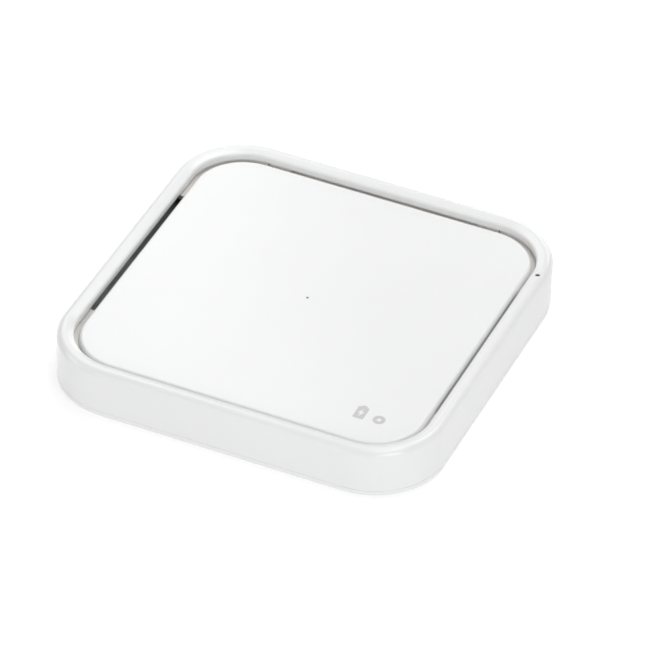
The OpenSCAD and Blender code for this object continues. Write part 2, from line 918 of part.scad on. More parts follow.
module fan_housing() {
    slot_w = 3 * cable_pitch;
    color("darkslategray")
        at_fan()
            difference() {
                union() {
                    translate([0, 0, fan_z + fan_plate_t])
                        linear_extrude(fan_h - fan_plate_t)
                            difference() {
                                rounded_rect(fan_w, fan_w, fan_corner_r);
                                fan_room();
                            }
                    translate([0, 0, tube_top_z])
                        linear_extrude(fan_plate_t) rounded_rect(fan_w, fan_w, fan_corner_r);
                    // Tube for the bearing
                    ring(bearing_r + tube_wall, bearing_r, bearing_z, tube_top_z - bearing_z);
                    // Screw ears
                    for (p = FAN_EARS) {
                        side = sign(p[0]);
                        translate([p[0], p[1], fan_ear_z]) cylinder(r = fan_ear_r, h = fan_ear_t);
                        chip(p[0] - side * fan_ear_r / 2, p[1], fan_ear_z,
                             [fan_ear_r, 2 * fan_ear_r, fan_ear_t]);
                    }
                }
                for (p = FAN_EARS)
                    translate([p[0], p[1], fan_ear_z - trim])
                        cylinder(r = small_screw_r + 0.2, h = fan_ear_t + 2 * trim, $fn = 32);
                // Channel for the cable
                translate([bearing_r + tube_wall + 0.6, -slot_w / 2, tube_top_z])
                    cube([fan_w, slot_w, fan_plate_t + trim]);
            }
}

module fan_cover() {
    color("darkslategray")
        at_fan()
            translate([0, 0, fan_z])
                linear_extrude(fan_plate_t)
                    difference() {
                        rounded_rect(fan_w, fan_w, fan_corner_r);
                        circle(fan_inlet_r);
                    }
}

module fan_gasket() {
    color("black")
        at_fan() ring(fan_inlet_r + 5.5, fan_inlet_r + 2.5, seam_z, gasket_t);
}

module fan_screws() {
    color("silver")
        at_fan()
            for (p = FAN_EARS)
                translate([p[0], p[1], fan_ear_z + fan_ear_t + small_head_h])
                    mirror([0, 0, 1]) screw(small_head_r, small_head_h, small_screw_r, 3.2);
}

module fan_board() {
    color("darkgreen")
        at_fan() ring(fan_board_r, bearing_r + tube_wall + slip, fan_board_z, fan_board_t);
}

module fan_bearing() {
    color("darkgoldenrod")
        at_fan()
            ring(bearing_r, shaft_r + shaft_gap, bearing_z, tube_top_z - thrust_t - bearing_z);
}

module thrust_pad() {
    color("ivory")
        at_fan()
            translate([0, 0, tube_top_z - thrust_t]) cylinder(r = bearing_r, h = thrust_t, $fn = 32);
}

module stator_core() {
    core_in_r = bearing_r + tube_wall + slip;
    shoe_t = 0.4;
    color("lightslategray")
        at_fan()
            translate([0, 0, stator_z])
                linear_extrude(stator_t) {
                    difference() {
                        circle(core_in_r + 0.7);
                        circle(core_in_r);
                    }
                    for (k = [0 : stator_slots - 1])
                        rotate(360 / stator_slots * k)
                            translate([core_in_r + 0.3, -tooth_w / 2])
                                square([stator_r - shoe_t / 2 - core_in_r - 0.3, tooth_w]);
                    intersection() {
                        difference() {
                            circle(stator_r);
                            circle(stator_r - shoe_t);
                        }
                        for (k = [0 : stator_slots - 1])
                            rotate(360 / stator_slots * k)
                                translate([0, -1.7]) square([stator_r + trim, 3.4]);
                    }
                }
}

module stator_coils() {
    start = bearing_r + tube_wall + slip + 0.75;
    reach = stator_r - 0.45 - start;
    color("chocolate")
        at_fan()
            for (k = [0 : stator_slots - 1])
                rotate(360 / stator_slots * k)
                    difference() {
                        translate([start, -tooth_w / 2 - winding_t, stator_z - winding_t])
                            cube([reach, tooth_w + 2 * winding_t, stator_t + 2 * winding_t]);
                        translate([start - trim, -tooth_w / 2, stator_z])
                            cube([reach + 2 * trim, tooth_w, stator_t]);
                    }
}

module fan_cable() {
    far_y = connector_y + fan_y - 1.8;
    low_z = pcb_top_z + 1.3;
    color("crimson")
        at_fan()
            for (k = [-1 : 1])
                wire([
                    [bearing_r + tube_wall + 1.2, cable_pitch * k, cable_z],
                    [connector_x - cable_pitch * k, cable_pitch * k, cable_z],
                    [connector_x - cable_pitch * k, 10, cable_z],
                    [connector_x - cable_pitch * k, far_y - 3, low_z],
                    [connector_x - cable_pitch * k, far_y + 0.6, low_z]
                ], cable_r);
}

// ---- Rotor ----

// Outline of a blade whose middle line bends back as it goes outwards
module blade_shape() {
    root = hub_r - 0.2;
    steps = 6;
    function middle_r(i) = root + (impeller_r - root) * i / steps;
    function middle_a(i) = -blade_sweep * pow(i / steps, 1.4);
    function half_a(i) = blade_t / 2 / middle_r(i) * 180 / PI;
    function edge(i, side) =
        let (a = middle_a(i) + side * half_a(i)) middle_r(i) * [cos(a), sin(a)];
    polygon(concat(
        [for (i = [0 : steps]) edge(i, -1)],
        [for (i = [steps : -1 : 0]) edge(i, 1)]
    ));
}

// Everything of the impeller but its floor: the hub's wall and the blades
module impeller_section() {
    difference() {
        circle(hub_r);
        circle(yoke_r);
    }
    for (k = [0 : blade_count - 1]) rotate(360 / blade_count * k) blade_shape();
}

module impeller() {
    web_t = 0.4;
    web_z = impeller_top_z - web_t;
    color("slategray")
        at_fan()
            union() {
                translate([0, 0, impeller_z])
                    linear_extrude(hub_t) {
                        impeller_section();
                        circle(hub_r);
                    }
                translate([0, 0, yoke_z]) linear_extrude(web_z - yoke_z) impeller_section();
                // Web that joins the blades on the side away from the inlet
                translate([0, 0, web_z])
                    linear_extrude(web_t) {
                        impeller_section();
                        difference() {
                            circle(impeller_r - 0.8);
                            circle(hub_r - 0.2);
                        }
                    }
            }
}

module rotor_yoke() {
    color("silver")
        at_fan()
            union() {
                ring(yoke_r, shaft_r, yoke_z, yoke_floor_t);
                ring(yoke_r, magnet_out_r, yoke_z, yoke_top_z - yoke_z);
            }
}

module rotor_magnet() {
    magnet_z = yoke_z + yoke_floor_t + 0.1;
    color("black")
        at_fan() ring(magnet_out_r, magnet_in_r, magnet_z, yoke_top_z - 0.1 - magnet_z);
}

module fan_shaft() {
    color("gainsboro")
        at_fan()
            translate([0, 0, yoke_z])
                cylinder(r = shaft_r, h = tube_top_z - thrust_t - 0.05 - yoke_z, $fn = 32);
}

outer_shell();
inner_frame();
charging_plate();
plate_adhesive();
centre_mark();
corner_mark();
base_cover();
foot_strips();
base_screws();
light_pipe();
status_led();
main_pcb();
pcb_screws();
usb_shell();
usb_insulator();
usb_contacts();
controller_ic();
bridge_ics();
regulator_ic();
crystal();
resonant_capacitors();
bulk_capacitors();
power_inductor();
chip_resistors();
shield_can();
thermal_pad();
heat_spreader();
coil_winding();
ferrite_disc();
coil_carrier();
carrier_screws();
thermistor();
fan_housing();
fan_cover();
fan_gasket();
fan_screws();
fan_board();
fan_bearing();
thrust_pad();
stator_core();
stator_coils();
fan_cable();
fan_connector();
impeller();
rotor_yoke();
rotor_magnet();
fan_shaft();
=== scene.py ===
"""Looks of the wireless charging pad: outer pieces in fine mesh, procedural materials, studio."""
import math

import bmesh
import bpy
from mathutils import Matrix, Vector


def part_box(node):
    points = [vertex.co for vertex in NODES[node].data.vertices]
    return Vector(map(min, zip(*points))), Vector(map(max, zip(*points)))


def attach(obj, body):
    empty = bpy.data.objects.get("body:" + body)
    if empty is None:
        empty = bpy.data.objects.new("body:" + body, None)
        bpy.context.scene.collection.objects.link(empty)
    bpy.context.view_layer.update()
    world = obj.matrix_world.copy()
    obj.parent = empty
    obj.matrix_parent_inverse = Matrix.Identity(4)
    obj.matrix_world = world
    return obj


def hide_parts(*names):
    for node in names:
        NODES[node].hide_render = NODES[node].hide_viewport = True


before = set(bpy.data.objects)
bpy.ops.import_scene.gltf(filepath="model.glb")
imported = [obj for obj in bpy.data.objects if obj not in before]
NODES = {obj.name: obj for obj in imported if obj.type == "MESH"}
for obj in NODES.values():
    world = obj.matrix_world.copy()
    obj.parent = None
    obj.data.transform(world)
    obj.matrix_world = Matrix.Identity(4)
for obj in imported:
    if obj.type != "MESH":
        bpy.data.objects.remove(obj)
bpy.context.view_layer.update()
MM = 0.001

# ---- Sizes, in millimetres, taken from the frame where it has them ----


def span(node):
    """Lowest and highest corner of a CAD node, in millimetres."""
    low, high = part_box(node)
    return low / MM, high / MM


SHELL_LOW, SHELL_HIGH = span("outer_shell")
PLATE_LOW, PLATE_HIGH = span("charging_plate")
FOOT_LOW, FOOT_HIGH = span("foot_strips")
PIPE_LOW, PIPE_HIGH = span("light_pipe")
USB_LOW, USB_HIGH = span("usb_shell")
TONGUE_LOW, TONGUE_HIGH = span("usb_insulator")

HALF = SHELL_HIGH.x
TOP = SHELL_HIGH.z
SEAM = SHELL_LOW.z
CORNER_R = 17.8
CORNER_C = HALF - CORNER_R
WALL = 1.8
RIM = 4.0
RIM_T = 1.6
RIM_FALL = 0.4
SKIRT_H = 0.85
SKIRT_T = 0.8
SHOULDER_R = 1.8
LIP_R = 0.7
PLATE_R = PLATE_HIGH.x - CORNER_C
PLATE_EDGE_W = 1.0
PLATE_EDGE_H = 1.1
BASE_EDGE_R = 0.6
BASE_UNDER = span("base_cover")[0].z
SEAM_EDGE_R = 0.14
CORNER_STEPS = 40
ARC_STEPS = 12
CROWN_STEPS = 6
CROWN_TILT = 12
SHARP_ANGLE = 35
QUADRANTS = [(1, 1), (-1, 1), (-1, -1), (1, -1)]
THROUGH = 1.0  # how far a cutting shape stands past what it cuts

# ---- Mesh tools ----


def arc(cx, cy, r, start, end, steps=ARC_STEPS):
    """Points on an arc, angles in degrees, both ends included."""
    points = []
    for i in range(steps + 1):
        a = math.radians(start + (end - start) * i / steps)
        points.append((cx + r * math.cos(a), cy + r * math.sin(a)))
    return points


def stations(cx, cy, steps=CORNER_STEPS):
    """Corner centre and outward direction for each step around a rounded rectangle."""
    found = []
    for k, (sx, sy) in enumerate(QUADRANTS):
        for i in range(steps + 1):
            a = math.radians(90 * (k + i / steps))
            found.append(((sx * cx, sy * cy), (math.cos(a), math.sin(a))))
    return found


def smooth(mesh):
    """Shades a mesh smooth but for its sharp edges."""
    mesh.polygons.foreach_set("use_smooth", [True] * len(mesh.polygons))
    mesh.set_sharp_from_angle(angle=math.radians(SHARP_ANGLE))


def to_object(name, bm):
    """A linked, smooth object from a bmesh drawn in millimetres."""
    bmesh.ops.recalc_face_normals(bm, faces=bm.faces)
    bmesh.ops.scale(bm, vec=(MM, MM, MM), verts=bm.verts)
    mesh = bpy.data.meshes.new(name)
    bm.to_mesh(mesh)
    bm.free()
    smooth(mesh)
    piece = bpy.data.objects.new(name, mesh)
    bpy.context.scene.collection.objects.link(piece)
    return piece


def sweep(places, profile, closed):
    """A bmesh of a profile of (distance, height) points swept around the places."""
    bm = bmesh.new()
    rows = []
    for (cx, cy), (dx, dy) in places:
        rows.append([bm.verts.new((cx + r * dx, cy + r * dy, z)) for r, z in profile])
    n = len(profile)
    for a, b in zip(rows, rows[1:] + rows[:1]):
        for j in range(n if closed else n - 1):
            k = (j + 1) % n
            bm.faces.new((a[j], b[j], b[k], a[k]))
    bmesh.ops.remove_doubles(bm, verts=bm.verts, dist=1e-5)
    bmesh.ops.dissolve_degenerate(bm, edges=bm.edges, dist=1e-6)
    return bm


def slab(places, profile):
    """A solid from an open profile: the holes inside the profile's two ends are filled flat."""
    bm = sweep(places, profile, closed=False)
    loops = [e for e in bm.edges if len(e.link_faces) == 1]
    bmesh.ops.holes_fill(bm, edges=loops, sides=0)
    return bm


def prism(outline, z0, z1, bevel_top=0.0, bevel_bottom=0.0):
    """A bmesh of an outline between two heights, with rounded upper and lower edges."""
    bm = bmesh.new()
    low = [bm.verts.new((x, y, z0)) for x, y in outline]
    high = [bm.verts.new((x, y, z1)) for x, y in outline]
    bm.faces.new(list(reversed(low)))
    bm.faces.new(high)
    n = len(outline)
    for i in range(n):
        j = (i + 1) % n
        bm.faces.new((low[i], low[j], high[j], high[i]))
    for height, width in ((z1, bevel_top), (z0, bevel_bottom)):
        if width > 0:
            edges = [e for e in bm.edges if all(abs(v.co.z - height) < 1e-6 for v in e.verts)]
            bmesh.ops.bevel(bm, geom=edges, offset=width, segments=3, profile=0.5, affect="EDGES")
    return bm


def rounded_rect(w, d, r, cx=0.0, cy=0.0, steps=6):
    """Outline of a rectangle with round corners."""
    points = []
    for k, (sx, sy) in enumerate(QUADRANTS):
        x, y = cx + sx * (w / 2 - r), cy + sy * (d / 2 - r)
        points += arc(x, y, r, 90 * k, 90 * k + 90, steps)
    return points


def add_bmesh(bm, other, matrix=None):
    """Adds a second bmesh's shape to the first."""
    if matrix is not None:
        bmesh.ops.transform(other, matrix=matrix, verts=other.verts)
    mesh = bpy.data.meshes.new("joined")
    other.to_mesh(mesh)
    other.free()
    bm.from_mesh(mesh)
    bpy.data.meshes.remove(mesh)


def cut(piece, cutters):
    """Takes the cutting shapes, bmeshes in millimetres, out of the piece."""
    joined = bmesh.new()
    for cutter in cutters:
        add_bmesh(joined, cutter)
    tool = to_object(piece.name + "_cutter", joined)
    step = piece.modifiers.new("cut", "BOOLEAN")
    step.operation = "DIFFERENCE"
    step.solver = "EXACT"
    step.object = tool
    dg = bpy.context.evaluated_depsgraph_get()
    mesh = bpy.data.meshes.new_from_object(piece.evaluated_get(dg))
    piece.modifiers.clear()
    old, piece.data = piece.data, mesh
    mesh.name = piece.name
    bpy.data.meshes.remove(old)
    bpy.data.objects.remove(tool)
    smooth(mesh)


def finish_piece(piece, material, node):
    """Gives a piece its material and its body, and hides the CAD node that it stands for."""
    piece.data.materials.clear()
    piece.data.materials.append(material)
    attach(piece, "housing")
    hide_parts(node)


# ---- Materials ----

# Most of a noise texture's values lie between these two.
NOISE_LOW, NOISE_HIGH = 0.3, 0.7


def new_material(name):
    """An empty node material: its tree, its Principled shader and a texture coordinate node."""
    material = bpy.data.materials.new(name)
    material.use_nodes = True
    tree = material.node_tree
    shader = tree.nodes["Principled BSDF"]
    place = tree.nodes.new("ShaderNodeTexCoord")
    return material, tree, shader, place


def noise(tree, place, scale, detail=3, stretch=None):
    """A noise texture in object space, scale in cells per metre."""
    texture = tree.nodes.new("ShaderNodeTexNoise")
    texture.inputs["Scale"].default_value = scale
    texture.inputs["Detail"].default_value = detail
    if stretch is None:
        tree.links.new(place.outputs["Object"], texture.inputs["Vector"])
    else:
        mapping = tree.nodes.new("ShaderNodeMapping")
        mapping.inputs["Scale"].default_value = stretch
        tree.links.new(place.outputs["Object"], mapping.inputs["Vector"])
        tree.links.new(mapping.outputs["Vector"], texture.inputs["Vector"])
    return texture.outputs["Fac"]


def ramp(tree, factor, low, high, low_at=NOISE_LOW, high_at=NOISE_HIGH):
    """A colour that goes from low to high as the factor does."""
    node = tree.nodes.new("ShaderNodeValToRGB")
    node.color_ramp.elements[0].position = low_at
    node.color_ramp.elements[0].color = (*low, 1)
    node.color_ramp.elements[1].position = high_at
    node.color_ramp.elements[1].color = (*high, 1)
    tree.links.new(factor, node.inputs["Fac"])
    return node.outputs["Color"]


def spread(tree, factor, low, high):
    """A number that goes from low to high as the factor does."""
    node = tree.nodes.new("ShaderNodeMapRange")
    node.inputs["From Min"].default_value = NOISE_LOW
    node.inputs["From Max"].default_value = NOISE_HIGH
    node.inputs["To Min"].default_value = low
    node.inputs["To Max"].default_value = high
    tree.links.new(factor, node.inputs["Value"])
    return node.outputs["Result"]


def bump(tree, shader, heights):
    """Chains (height, distance in metres, strength) bumps into the shader's normal."""
    normal = None
    for height, distance, strength in heights:
        node = tree.nodes.new("ShaderNodeBump")
        node.inputs["Distance"].default_value = distance
        node.inputs["Strength"].default_value = strength
        tree.links.new(height, node.inputs["Height"])
        if normal is not None:
            tree.links.new(normal, node.inputs["Normal"])
        normal = node.outputs["Normal"]
    tree.links.new(normal, shader.inputs["Normal"])


def surface(name, low, high, rough, grain, grain_depth, metallic=0.0, drift=60.0, stretch=None,
            coat=0.0, ior=1.5):
    """A moulded, fired or rolled surface: colour that drifts, uneven gloss and a fine grain.

    low and high are the colours it drifts between, rough the two roughnesses, grain the
    grain's cells per metre and grain_depth its height in metres."""
    material, tree, shader, place = new_material(name)
    slow = noise(tree, place, drift, detail=2)
    fine = noise(tree, place, grain, stretch=stretch)
    tree.links.new(ramp(tree, slow, low, high), shader.inputs["Base Color"])
    tree.links.new(spread(tree, fine, *rough), shader.inputs["Roughness"])
    bump(tree, shader, [(fine, grain_depth, 1.0)])
    shader.inputs["Metallic"].default_value = metallic
    shader.inputs["IOR"].default_value = ior
    shader.inputs["Coat Weight"].default_value = coat
    return material


def shades(value, tint=(1, 1, 1), width=0.03):
    """Two close shades about one value."""
    return [tuple(value * t * (1 + side * width) for t in tint) for side in (-1, 1)]


WHITE_TINT = (0.992, 1.0, 0.996)
shell_white = surface("shell_white", *shades(0.77, WHITE_TINT, 0.006), (0.16, 0.22), 9000, 1.2e-6)
plate_white = surface("plate_white", *shades(0.80, WHITE_TINT, 0.006), (0.22, 0.28), 14000, 6e-7)
base_white = surface("base_white", *shades(0.78, WHITE_TINT, 0.006), (0.34, 0.44), 7000, 4e-6)
frame_grey = surface("frame_grey", *shades(0.62, (1.02, 0.985, 0.955), 0.03), (0.38, 0.5), 9000, 3e-6)
foot_grey = surface("foot_grey", *shades(0.2, width=0.06), (0.6, 0.8), 5000, 8e-6)
print_dark = surface("print_dark", *shades(0.2, width=0.04), (0.45, 0.6), 9000, 1e-6)
print_light = surface("print_light", *shades(0.52, width=0.02), (0.4, 0.5), 9000, 1e-6)
lens_dark = surface("lens_dark", *shades(0.012, width=0.1), (0.08, 0.14), 4000, 3e-7, coat=0.5)

# ---- Outer shell ----

PORT_Z = (TONGUE_LOW.z + TONGUE_HIGH.z) / 2
LIGHT_W = 1.0
LIGHT_L = 0.8  # shorter than the CAD node's window, whose length is the arm's width
LIGHT_R = 0.3
LIGHT_GAP = 0.05
LIGHT_X = PIPE_HIGH.x - LIGHT_W / 2
LIGHT_Y = (PIPE_LOW.y + PIPE_HIGH.y) / 2


def shell_profile():
    """Section of the wall, rim and skirt, as distance from the corner centre and height.

    The rim is crowned: it leaves the shoulder level and falls towards the plate."""
    wall_in = CORNER_R - WALL
    rim_in = CORNER_R - RIM
    under = TOP - RIM_T
    skirt = under - SKIRT_H
    lip_top = TOP - RIM_FALL
    hold = 0.12
    edge = 0.15
    crown_out = CORNER_R - SHOULDER_R
    crown_in = rim_in + LIP_R
    profile = arc(CORNER_R - SEAM_EDGE_R, SEAM + SEAM_EDGE_R, SEAM_EDGE_R, -90, 0, 4)
    profile += [(CORNER_R, SEAM + SEAM_EDGE_R + hold), (CORNER_R, TOP - SHOULDER_R - hold)]
    profile += arc(crown_out, TOP - SHOULDER_R, SHOULDER_R, 0, 90)
    for i in range(1, CROWN_STEPS):
        t = i / CROWN_STEPS
        profile.append((crown_out + (crown_in - crown_out) * t, TOP - RIM_FALL * t * t))
    profile += arc(crown_in, lip_top - LIP_R, LIP_R, 90 + CROWN_TILT, 180)
    profile += [(rim_in, lip_top - LIP_R - hold), (rim_in, skirt + edge + hold)]
    profile += arc(rim_in + edge, skirt + edge, edge, 180, 270, 3)
    profile += [(rim_in + SKIRT_T, skirt), (rim_in + SKIRT_T, under), (wall_in, under), (wall_in, SEAM)]
    return profile


def out_of_back(bm, y):
    """Turns a shape that points up into one that points out of the back, level with the port."""
    turn = Matrix.Translation((0, y, PORT_Z)) @ Matrix.Rotation(math.radians(-90), 4, "X")
    bmesh.ops.transform(bm, matrix=turn, verts=bm.verts)
    return bm


def port_cutter():
    """Opening for the USB-C receptacle, flared to a small radius at the wall's outer face."""
    gap = 0.18
    flare = 0.3
    height = USB_HIGH.z - PORT_Z + gap
    reach = (USB_HIGH.x - USB_LOW.x) / 2 + gap - height
    profile = [(height, -WALL - THROUGH)]
    profile += [(height + flare - x, y) for x, y in arc(0, -flare, flare, 0, 90, 5)]
    profile += [(height + flare, THROUGH)]
    return out_of_back(slab(stations(reach, 0, 12), profile), HALF)


def light_outline(gap=0.0):
    """Outline of the status light's window, or of its hole in the rim, which is a gap wider."""
    return rounded_rect(LIGHT_W + 2 * gap, LIGHT_L + 2 * gap, LIGHT_R + gap, LIGHT_X, LIGHT_Y)


shell = to_object("shell_body", sweep(stations(CORNER_C, CORNER_C), shell_profile(), closed=True))
light_hole = prism(light_outline(LIGHT_GAP), TOP - RIM_T - THROUGH, TOP + THROUGH)
cut(shell, [port_cutter(), light_hole])
finish_piece(shell, shell_white, "outer_shell")

# ---- Charging plate and its print ----


def plate_profile():
    """Half section of the plate, whose upper edge is a quarter of an ellipse."""
    low, high = PLATE_LOW.z, PLATE_HIGH.z
    hold = 0.15
    under = 0.06
    flat = PLATE_R - PLATE_EDGE_W
    profile = [(0, high), (flat - hold, high)]
    for x, y in arc(0, 0, 1, 90, 0, 18):
        profile.append((flat + PLATE_EDGE_W * x, high - PLATE_EDGE_H * (1 - y)))
    profile += arc(PLATE_R - under, low + under, under, 0, -90, 3)
    profile += [(0, low)]
    return profile


plate = to_object("plate_body", slab(stations(CORNER_C, CORNER_C), plate_profile()))
finish_piece(plate, plate_white, "charging_plate")


INK_PROUD = 0.012
INK_SUNK = 0.05
INK_TOP = PLATE_HIGH.z + INK_PROUD
INK_UNDER = PLATE_HIGH.z - INK_SUNK


def ink(outline, reach=0.0):
    """A flat shape of printed ink, or one that reaches past the ink and so cuts it."""
    return prism(outline, INK_UNDER - reach, INK_TOP + reach)


def ink_ring(cx, cy, outer, inner):
    """A ring of printed ink."""
    profile = [(inner, INK_UNDER), (outer, INK_UNDER), (outer, INK_TOP), (inner, INK_TOP)]
    places = []
    steps = 48
    for i in range(steps):
        a = 2 * math.pi * i / steps
        places.append(((cx, cy), (math.cos(a), math.sin(a))))
    return sweep(places, profile, closed=True)


DOT_R = span("centre_mark")[1].x
centre_dot = to_object("centre_dot", ink(arc(0, 0, DOT_R, 0, 350, 35)))
finish_piece(centre_dot, print_dark, "centre_mark")

MARK_LOW, MARK_HIGH = span("corner_mark")
BATTERY_W, BATTERY_L, BATTERY_R = 2.7, 4.3, 0.4
CAP_W, CAP_L = 1.3, 0.5
BOLT = [(0.25, 1.5), (-0.8, -0.2), (-0.1, -0.2), (-0.3, -1.5), (0.8, 0.3), (0.1, 0.3)]
RING_R = 1.5
RING_HOLE_R = 0.5
RING_DROP = 0.6  # how far the ring's middle is below the battery's
BATTERY_X = MARK_LOW.x + BATTERY_W / 2
BATTERY_Y = MARK_HIGH.y - CAP_L - BATTERY_L / 2


def battery_outline():
    """A battery standing on end, with its cap at the top."""
    points = rounded_rect(BATTERY_W, BATTERY_L, BATTERY_R, BATTERY_X, BATTERY_Y)
    corner = len(points) // 4
    top = BATTERY_Y + BATTERY_L / 2
    cap = []
    for side, height in ((1, 0), (1, CAP_L), (-1, CAP_L), (-1, 0)):
        cap.append((BATTERY_X + side * CAP_W / 2, top + height))
    return points[:corner] + cap + points[corner:]


symbols = ink(battery_outline())
add_bmesh(symbols, ink_ring(MARK_HIGH.x - RING_R, BATTERY_Y - RING_DROP, RING_R, RING_HOLE_R))
corner_symbols = to_object("corner_symbols", symbols)
cut(corner_symbols, [ink([(BATTERY_X + x, BATTERY_Y + y) for x, y in BOLT], reach=0.5)])
finish_piece(corner_symbols, print_light, "corner_mark")

# ---- Base cover ----

FAN_Y = (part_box("impeller")[0].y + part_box("impeller")[1].y) / 2 / MM
INTAKE_R = 11.0
SLOT_W = 1.4
SLOT_PITCH = 2.6
SCREW_IN = 6.3  # from the corner's centre to the base screw, along x and along y
FOOT_ARM = 10
FOOT_EDGE_R = 0.25
FOOT_GAP = 0.06


def base_profile():
    """Half section of the base cover, with a small round at the seam and a larger one below."""
    hold = 0.1
    profile = [(0, SEAM), (CORNER_R - SEAM_EDGE_R, SEAM)]
    profile += arc(CORNER_R - SEAM_EDGE_R, SEAM - SEAM_EDGE_R, SEAM_EDGE_R, 90, 0, 4)[1:]
    profile += arc(CORNER_R - BASE_EDGE_R, BASE_UNDER + BASE_EDGE_R, BASE_EDGE_R, 0, -90, 8)
    profile += [(CORNER_R - BASE_EDGE_R - hold, BASE_UNDER), (0, BASE_UNDER)]
    return profile


def foot_outline(grow=0.0):
    """Outline of one foot strip: a quarter ring with an arm and a round end on both sides."""
    mid = CORNER_C + SCREW_IN * math.sqrt(2)
    outer = FOOT_HIGH.x - CORNER_C + grow
    half = FOOT_HIGH.x - mid + grow
    inner = outer - 2 * half
    start = CORNER_C - FOOT_ARM
    steps = 16
    points = arc(CORNER_C, CORNER_C, outer, 0, 90, 2 * steps)
    points += arc(start, mid, half, 90, 270, steps)
    points += arc(CORNER_C, CORNER_C, inner, 90, 0, 2 * steps)
    points += arc(mid, start, half, 180, 360, steps)
    return points


def four(make):
    """Four of a shape, a quarter turn apart about the pad's middle."""
    bm = bmesh.new()
    for k in range(4):
        add_bmesh(bm, make(), Matrix.Rotation(math.radians(90 * k), 4, "Z"))
    return bm


def intake_cutters():
    """Slots of the intake grille: they fill a circle under the fan, each one as long as fits."""
    found = []
    rows = int((INTAKE_R - SLOT_W) // SLOT_PITCH)
    for i in range(-rows, rows + 1):
        y = i * SLOT_PITCH
        half = math.sqrt(INTAKE_R ** 2 - y ** 2)
        outline = arc(half - SLOT_W / 2, FAN_Y + y, SLOT_W / 2, -90, 90, 8)
        outline += arc(-half + SLOT_W / 2, FAN_Y + y, SLOT_W / 2, 90, 270, 8)
        found.append(prism(outline, BASE_UNDER - THROUGH, SEAM + THROUGH))
    return found


base = to_object("base_body", slab(stations(CORNER_C, CORNER_C), base_profile()))
recess = four(lambda: prism(foot_outline(FOOT_GAP), BASE_UNDER - THROUGH, FOOT_HIGH.z))
cut(base, [recess] + intake_cutters())
finish_piece(base, base_white, "base_cover")

foot_strips = four(lambda: prism(foot_outline(), FOOT_LOW.z, FOOT_HIGH.z, 0, FOOT_EDGE_R))
feet = to_object("foot_pads", foot_strips)
finish_piece(feet, foot_grey, "foot_strips")

# ---- Status light ----

PIPE_EDGE_R = 0.08
ARM_T = 1.0
ARM_R = 0.2


def arm_outline():
    """Outline of the arm that leads the light from the board to the window."""
    length = PIPE_HIGH.x - PIPE_LOW.x
    width = PIPE_HIGH.y - PIPE_LOW.y
    return rounded_rect(length, width, ARM_R, PIPE_HIGH.x - length / 2, LIGHT_Y)


pipe = prism(light_outline(), PIPE_LOW.z, PIPE_HIGH.z, PIPE_EDGE_R)
add_bmesh(pipe, prism(arm_outline(), PIPE_LOW.z, PIPE_LOW.z + ARM_T, PIPE_EDGE_R))
finish_piece(to_object("light_window", pipe), lens_dark, "light_pipe")

# ---- USB-C receptacle ----

USB_T = 0.3
USB_H = 3.16
USB_LEN = USB_HIGH.y - USB_LOW.y
TONGUE_W = 6.69
TONGUE_T = 0.7
TONGUE_LEN = 4.45
TONGUE_R = 0.4
TONGUE_EDGE_R = 0.12
USB_REAR_LEN = 1.9
LEG_W = 1.0
LEG_R = 0.1
LEGS_FROM_REAR = (0.9, USB_LEN - 4.2)


def stadium_places():
    """Where a section goes around the receptacle's outline: two half rounds and two flats."""
    reach = (USB_HIGH.x - USB_LOW.x - USB_H) / 2
    return stations(reach, 0, 14)


def usb_sleeve():
    """Drawn steel sleeve with a rolled mouth."""
    outer = USB_H / 2
    inner = outer - USB_T
    roll = USB_T / 2
    hold = 0.1
    profile = [(inner, -USB_LEN), (outer, -USB_LEN), (outer, -roll - hold)]
    profile += arc(outer - roll, -roll, roll, 0, 180, 8)
    profile += [(inner, -roll - hold)]
    return out_of_back(sweep(stadium_places(), profile, closed=True), USB_HIGH.y)


def usb_legs():
    """Four legs that stand in the board, two on each side of the sleeve."""
    bm = bmesh.new()
    for side in (-1, 1):
        for from_rear in LEGS_FROM_REAR:
            x, y = side * (USB_HIGH.x - USB_T / 2), USB_LOW.y + from_rear
            add_bmesh(bm, prism(rounded_rect(USB_T, LEG_W, LEG_R, x, y), USB_LOW.z, PORT_Z))
    return bm


def usb_block():
    """Moulded insulator: the rear block that fills the sleeve, and the tongue with round corners."""
    fit = USB_H / 2 - USB_T
    block = slab(stadium_places(), [(fit, -USB_LEN), (fit, USB_REAR_LEN - USB_LEN)])
    out_of_back(block, USB_HIGH.y)
    length = TONGUE_LEN + TONGUE_EDGE_R
    middle = USB_LOW.y + USB_REAR_LEN - TONGUE_EDGE_R + length / 2
    outline = rounded_rect(TONGUE_W, length, TONGUE_R, 0, middle)
    low, high = PORT_Z - TONGUE_T / 2, PORT_Z + TONGUE_T / 2
    add_bmesh(block, prism(outline, low, high, TONGUE_EDGE_R, TONGUE_EDGE_R))
    return block


sleeve = usb_sleeve()
add_bmesh(sleeve, usb_legs())
usb_steel = surface("usb_steel", *shades(0.62, (1.0, 0.99, 0.96), 0.06), (0.2, 0.34), 14000, 1.5e-6,
                    metallic=1.0, drift=300, stretch=(1.0, 0.05, 1.0))
black_plastic = surface("black_plastic", *shades(0.03, width=0.15), (0.4, 0.55), 6000, 5e-6)
finish_piece(to_object("usb_sleeve", sleeve), usb_steel, "usb_shell")
finish_piece(to_object("usb_tongue", usb_block()), black_plastic, "usb_insulator")

# ---- Materials of the CAD nodes that stay ----

WAVE_PERIOD = 0.314  # metres from line to line in a wave texture whose scale is 1


def brushed(name, value, tint, rough, along):
    """Rolled or drawn metal: fine lines along one axis, uneven gloss and a slight stain."""
    stretch = tuple(0.02 if axis == along else 1.0 for axis in "xyz")
    return surface(name, *shades(value, tint, 0.08), rough, 26000, 1.5e-6, metallic=1.0,
                   drift=180, stretch=stretch)


